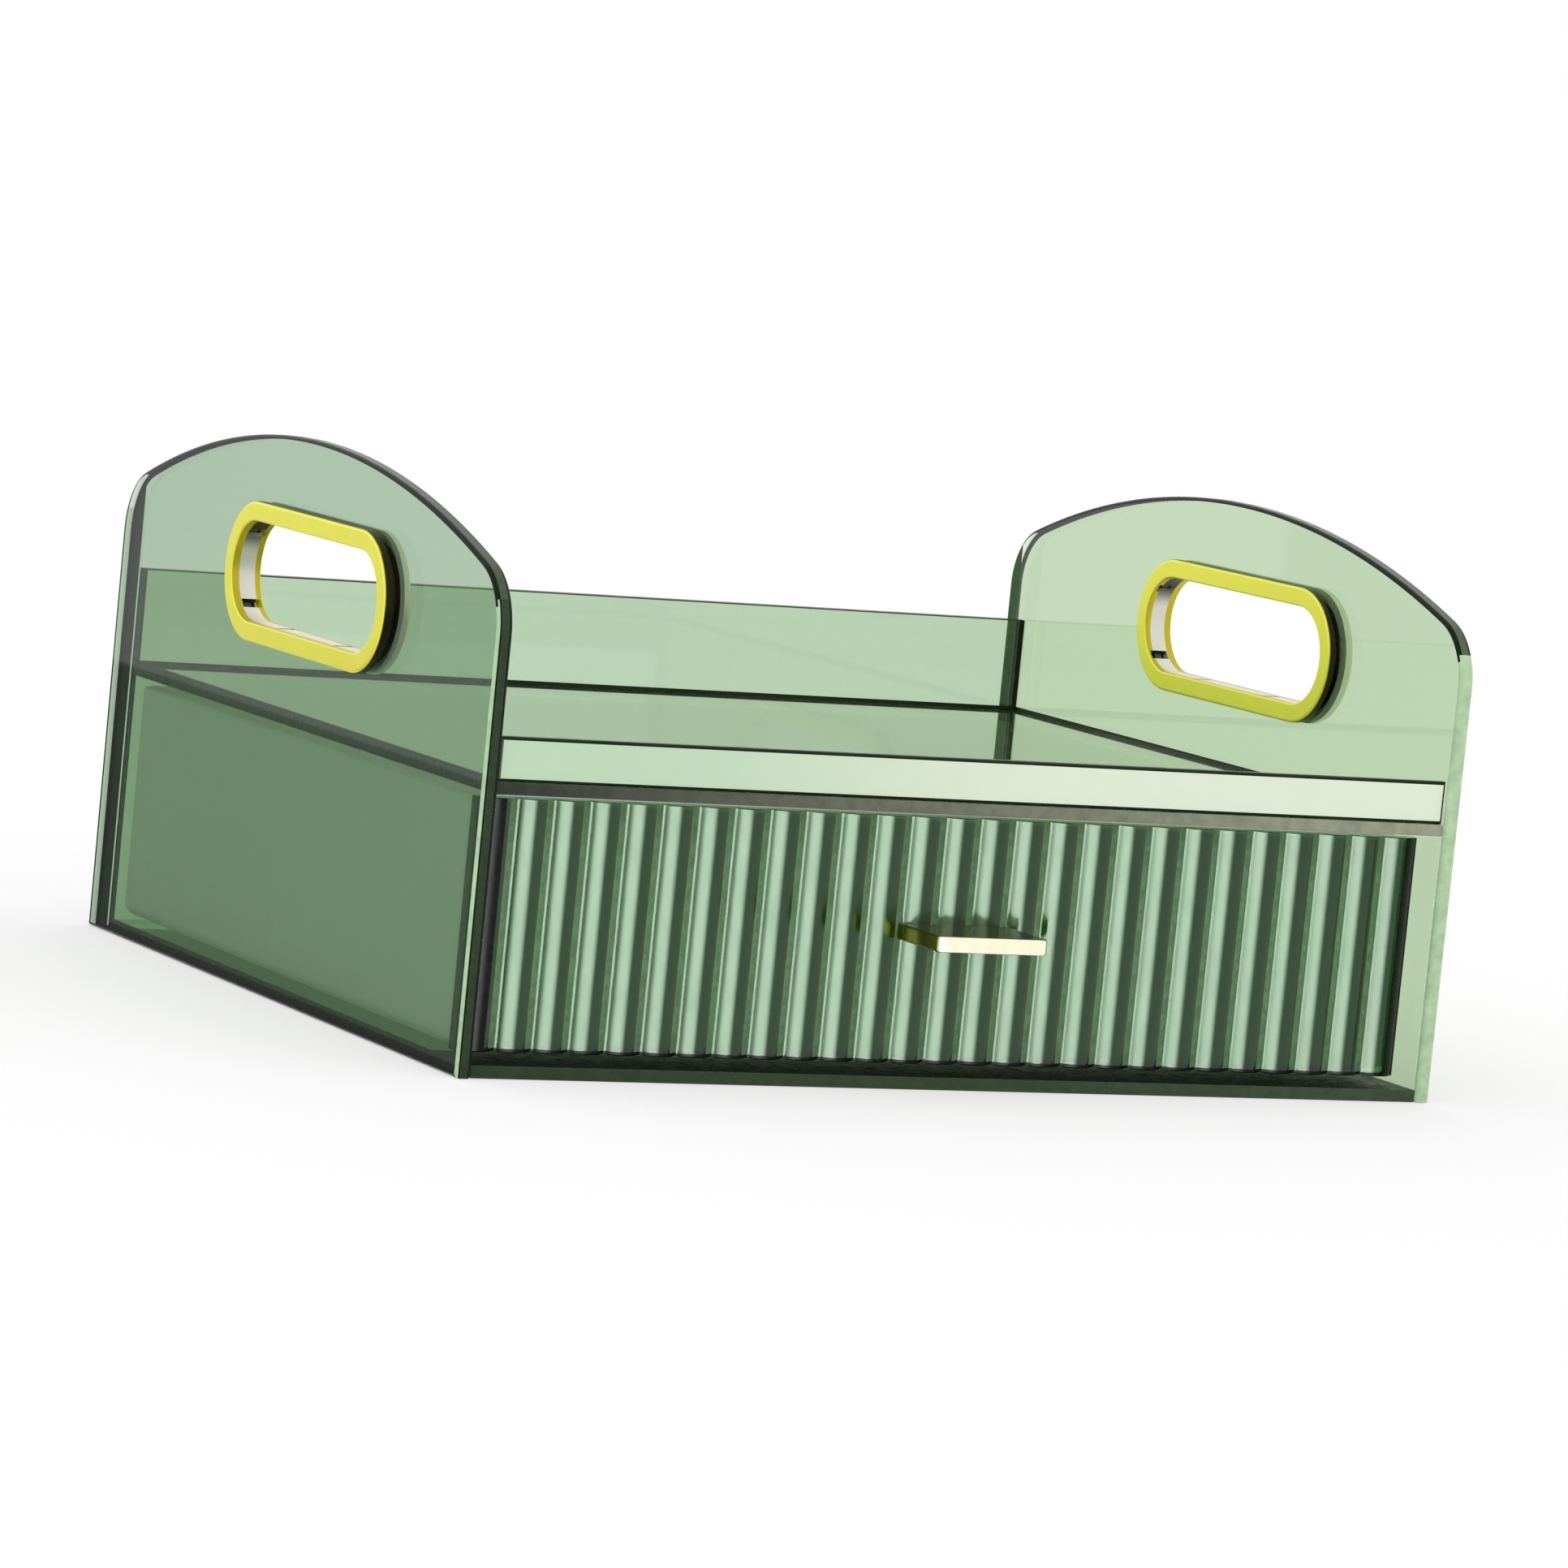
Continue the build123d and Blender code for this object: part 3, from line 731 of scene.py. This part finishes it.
# Faces that look ahead are painted cream as a painted highlight, the others olive gold as painted shade.
pull_front_highlight = add_node(pull_tree, "ShaderNodeMapRange", {
    "Value": pull_turn.outputs["Y"], "From Min": -0.3, "From Max": -0.85}, interpolation_type="SMOOTHSTEP")
pull_shade = add_node(pull_tree, "ShaderNodeMix", {
    "Factor": pull_front_highlight.outputs["Result"], "A": linear("#8E8229"), "B": pull_tone.outputs["Result"]},
    data_type="RGBA")
pull_gloss = add_node(pull_tree, "ShaderNodeMapRange", {
    "Value": pull_cloud.outputs["Fac"], "From Min": 0.3, "From Max": 0.7, "To Min": 0.12, "To Max": 0.22})
pull_skin = add_node(pull_tree, "ShaderNodeBsdfPrincipled", {
    "Base Color": pull_shade.outputs["Result"], "Metallic": 1.0, "Roughness": pull_gloss.outputs["Result"]})
add_node(pull_tree, "ShaderNodeOutputMaterial", {"Surface": pull_skin.outputs["BSDF"]})
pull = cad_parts["drawer_pull"]
pull.material_slots[0].material = pull_gold

# Pull screws.
# Two slotted pan-head screws in zinc-plated steel, put in from inside the tub.
# The plating is a dull silver grey, clouded, brighter where it is smooth.
screw_cloud_size = 1.5 * mm
screw_steel, screw_tree = new_tree("zinc_plated_steel")
screw_where = add_node(screw_tree, "ShaderNodeTexCoord").outputs["Object"]
screw_cloud = add_node(screw_tree, "ShaderNodeTexNoise", {
    "Vector": screw_where, "Scale": per_metre(screw_cloud_size), "Detail": 3.0})
screw_tone = add_node(screw_tree, "ShaderNodeMix", {
    "Factor": screw_cloud.outputs["Fac"], "A": linear("#9A9C9E"), "B": linear("#C4C6C4")}, data_type="RGBA")
screw_gloss = add_node(screw_tree, "ShaderNodeMapRange", {
    "Value": screw_cloud.outputs["Fac"], "From Min": 0.3, "From Max": 0.7, "To Min": 0.22, "To Max": 0.4})
screw_skin = add_node(screw_tree, "ShaderNodeBsdfPrincipled", {
    "Base Color": screw_tone.outputs["Result"], "Metallic": 1.0,
    "Roughness": screw_gloss.outputs["Result"]})
add_node(screw_tree, "ShaderNodeOutputMaterial", {"Surface": screw_skin.outputs["BSDF"]})
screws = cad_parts["pull_screws"]
screws.material_slots[0].material = screw_steel

# Studio.
# A white room with a white paper floor that runs out of sight. One soft box and two dark flags show only
# as reflections in gloss, as they would outside the picture.
floor_size, floor_gap = 16.0, 0.1 * mm
floor_share, floor_power = 0.45, 1.15

# Matt white paper that keeps the shadow of the box. To the camera it glows a little, so it ends in white.
floor_white, floor_tree = new_tree("white_floor_paper")
floor_path = add_node(floor_tree, "ShaderNodeLightPath")
floor_seen = add_node(floor_tree, "ShaderNodeMath", {
    0: floor_path.outputs["Is Camera Ray"], 1: floor_path.outputs["Is Transmission Ray"]},
    operation="MAXIMUM")
floor_lift = add_node(floor_tree, "ShaderNodeMath", {
    0: floor_seen.outputs[0], 1: floor_share}, operation="MULTIPLY")
floor_paper = add_node(floor_tree, "ShaderNodeBsdfDiffuse", {"Color": linear("#F2F2F2")})
floor_glow = add_node(floor_tree, "ShaderNodeEmission", {
    "Color": linear("#FFFFFF"), "Strength": floor_power})
floor_both = add_node(floor_tree, "ShaderNodeMixShader", {
    0: floor_lift.outputs[0], 1: floor_paper.outputs["BSDF"], 2: floor_glow.outputs["Emission"]})
add_node(floor_tree, "ShaderNodeOutputMaterial", {"Surface": floor_both.outputs["Shader"]})


def flat_stage(name, width, height, material):
    """A flat rectangle of the studio, not part of the box."""
    bm = bmesh.new()
    bmesh.ops.create_grid(bm, x_segments=2, y_segments=2, size=0.5)
    bmesh.ops.scale(bm, vec=(width, height, 1), verts=bm.verts)
    flat = mesh_object(name, bm, [material])
    return flat


floor = flat_stage("floor", floor_size, floor_size, floor_white)
floor.location.z = cad_low.z - floor_gap
floor.visible_glossy = False

# The soft box is kept off the flat sheets and the rings, which would mirror it as a white patch.
soft_box_lit = bpy.data.collections.new("soft_box_lit")
for lit in (ribbed_front, lip, pull):
    soft_box_lit.objects.link(lit)

# Each card is a name, its low and high corners with one equal coordinate, its power at the edge and in the
# middle, and the shares of its width over which it rises and falls. It is white cloth lit from behind.
cards = (
    ("front_soft_box", (-1.5, -1.2, -0.8), (0.4, -1.2, 0.15), 1.0, 12.0, 0.5, 0.3),
    ("low_rear_flag", (-0.45, 0.1, -0.4), (-0.45, 0.96, 0.0027), 0.16, 0.16, 0.1, 0.1),
    ("high_rear_flag", (-0.45, 0.1, 0.0027), (-0.45, 0.96, 0.125), 0.5, 0.5, 0.1, 0.1),
)
for card_name, card_low, card_high, card_edge, card_power, card_start, card_end in cards:
    card_low, card_high = Vector(card_low), Vector(card_high)
    card_size = card_high - card_low
    card_cloth, card_tree = new_tree(card_name)
    card_where = add_node(card_tree, "ShaderNodeTexCoord").outputs["Generated"]
    card_axis = add_node(card_tree, "ShaderNodeSeparateXYZ", {"Vector": card_where})
    card_rise = add_node(card_tree, "ShaderNodeMapRange", {
        "Value": card_axis.outputs["X"], "From Max": card_start}, interpolation_type="SMOOTHSTEP")
    card_fall = add_node(card_tree, "ShaderNodeMapRange", {
        "Value": card_axis.outputs["X"], "From Min": 1.0, "From Max": 1.0 - card_end},
        interpolation_type="SMOOTHSTEP")
    card_hill = add_node(card_tree, "ShaderNodeMath", {
        0: card_rise.outputs["Result"], 1: card_fall.outputs["Result"]}, operation="MULTIPLY")
    card_level = add_node(card_tree, "ShaderNodeMapRange", {
        "Value": card_hill.outputs[0], "To Min": card_edge, "To Max": card_power})
    card_glow = add_node(card_tree, "ShaderNodeEmission", {
        "Color": linear("#FFFFFF"), "Strength": card_level.outputs["Result"]})
    add_node(card_tree, "ShaderNodeOutputMaterial", {"Surface": card_glow.outputs["Emission"]})
    card = flat_stage(card_name, card_size.x or card_size.y, card_size.z, card_cloth)
    card.location = (card_low + card_high) / 2
    card.rotation_euler = (math.pi / 2, 0, 0 if card_size.x else math.pi / 2)
    card.visible_camera = False
    card.visible_diffuse = False
    card.visible_transmission = False
    card.visible_shadow = False
    if card_name == "front_soft_box":
        card.light_linking.receiver_collection = soft_box_lit

studio = bpy.data.worlds.new("studio")
bpy.context.scene.world = studio
studio.use_nodes = True
sky = studio.node_tree
sky.nodes.clear()
surround = add_node(sky, "ShaderNodeBackground", {"Color": linear("#FFFFFF"), "Strength": 1.0})
add_node(sky, "ShaderNodeOutputWorld", {"Surface": surround.outputs["Background"]})

# A line of sight crosses many faces of the clear sheets, so light is followed through more of them.
bpy.context.scene.cycles.max_bounces = 24
bpy.context.scene.cycles.transmission_bounces = 24

# Camera.
# A long lens a little above the box, turned and rolled as the picture was taken.
eye = Vector((-962.83, -1875.51, 284.04)) * mm
yaw, pitch, roll = math.radians(27.318), math.radians(5.891), math.radians(5.685)
ahead = Vector((math.sin(yaw) * math.cos(pitch), math.cos(yaw) * math.cos(pitch), -math.sin(pitch)))
lens = bpy.data.cameras.new("camera")
lens.sensor_width, lens.lens, lens.clip_start, lens.clip_end = 36.0, 170.28, 0.05, 50.0
camera = bpy.data.objects.new("camera", lens)
camera.location = eye
camera.rotation_mode = "QUATERNION"
camera.rotation_quaternion = ahead.to_track_quat("-Z", "Y") @ Quaternion((0, 0, 1), roll)
bpy.context.scene.collection.objects.link(camera)
bpy.context.scene.camera = camera
bpy.context.scene.view_settings.view_transform = "Standard"
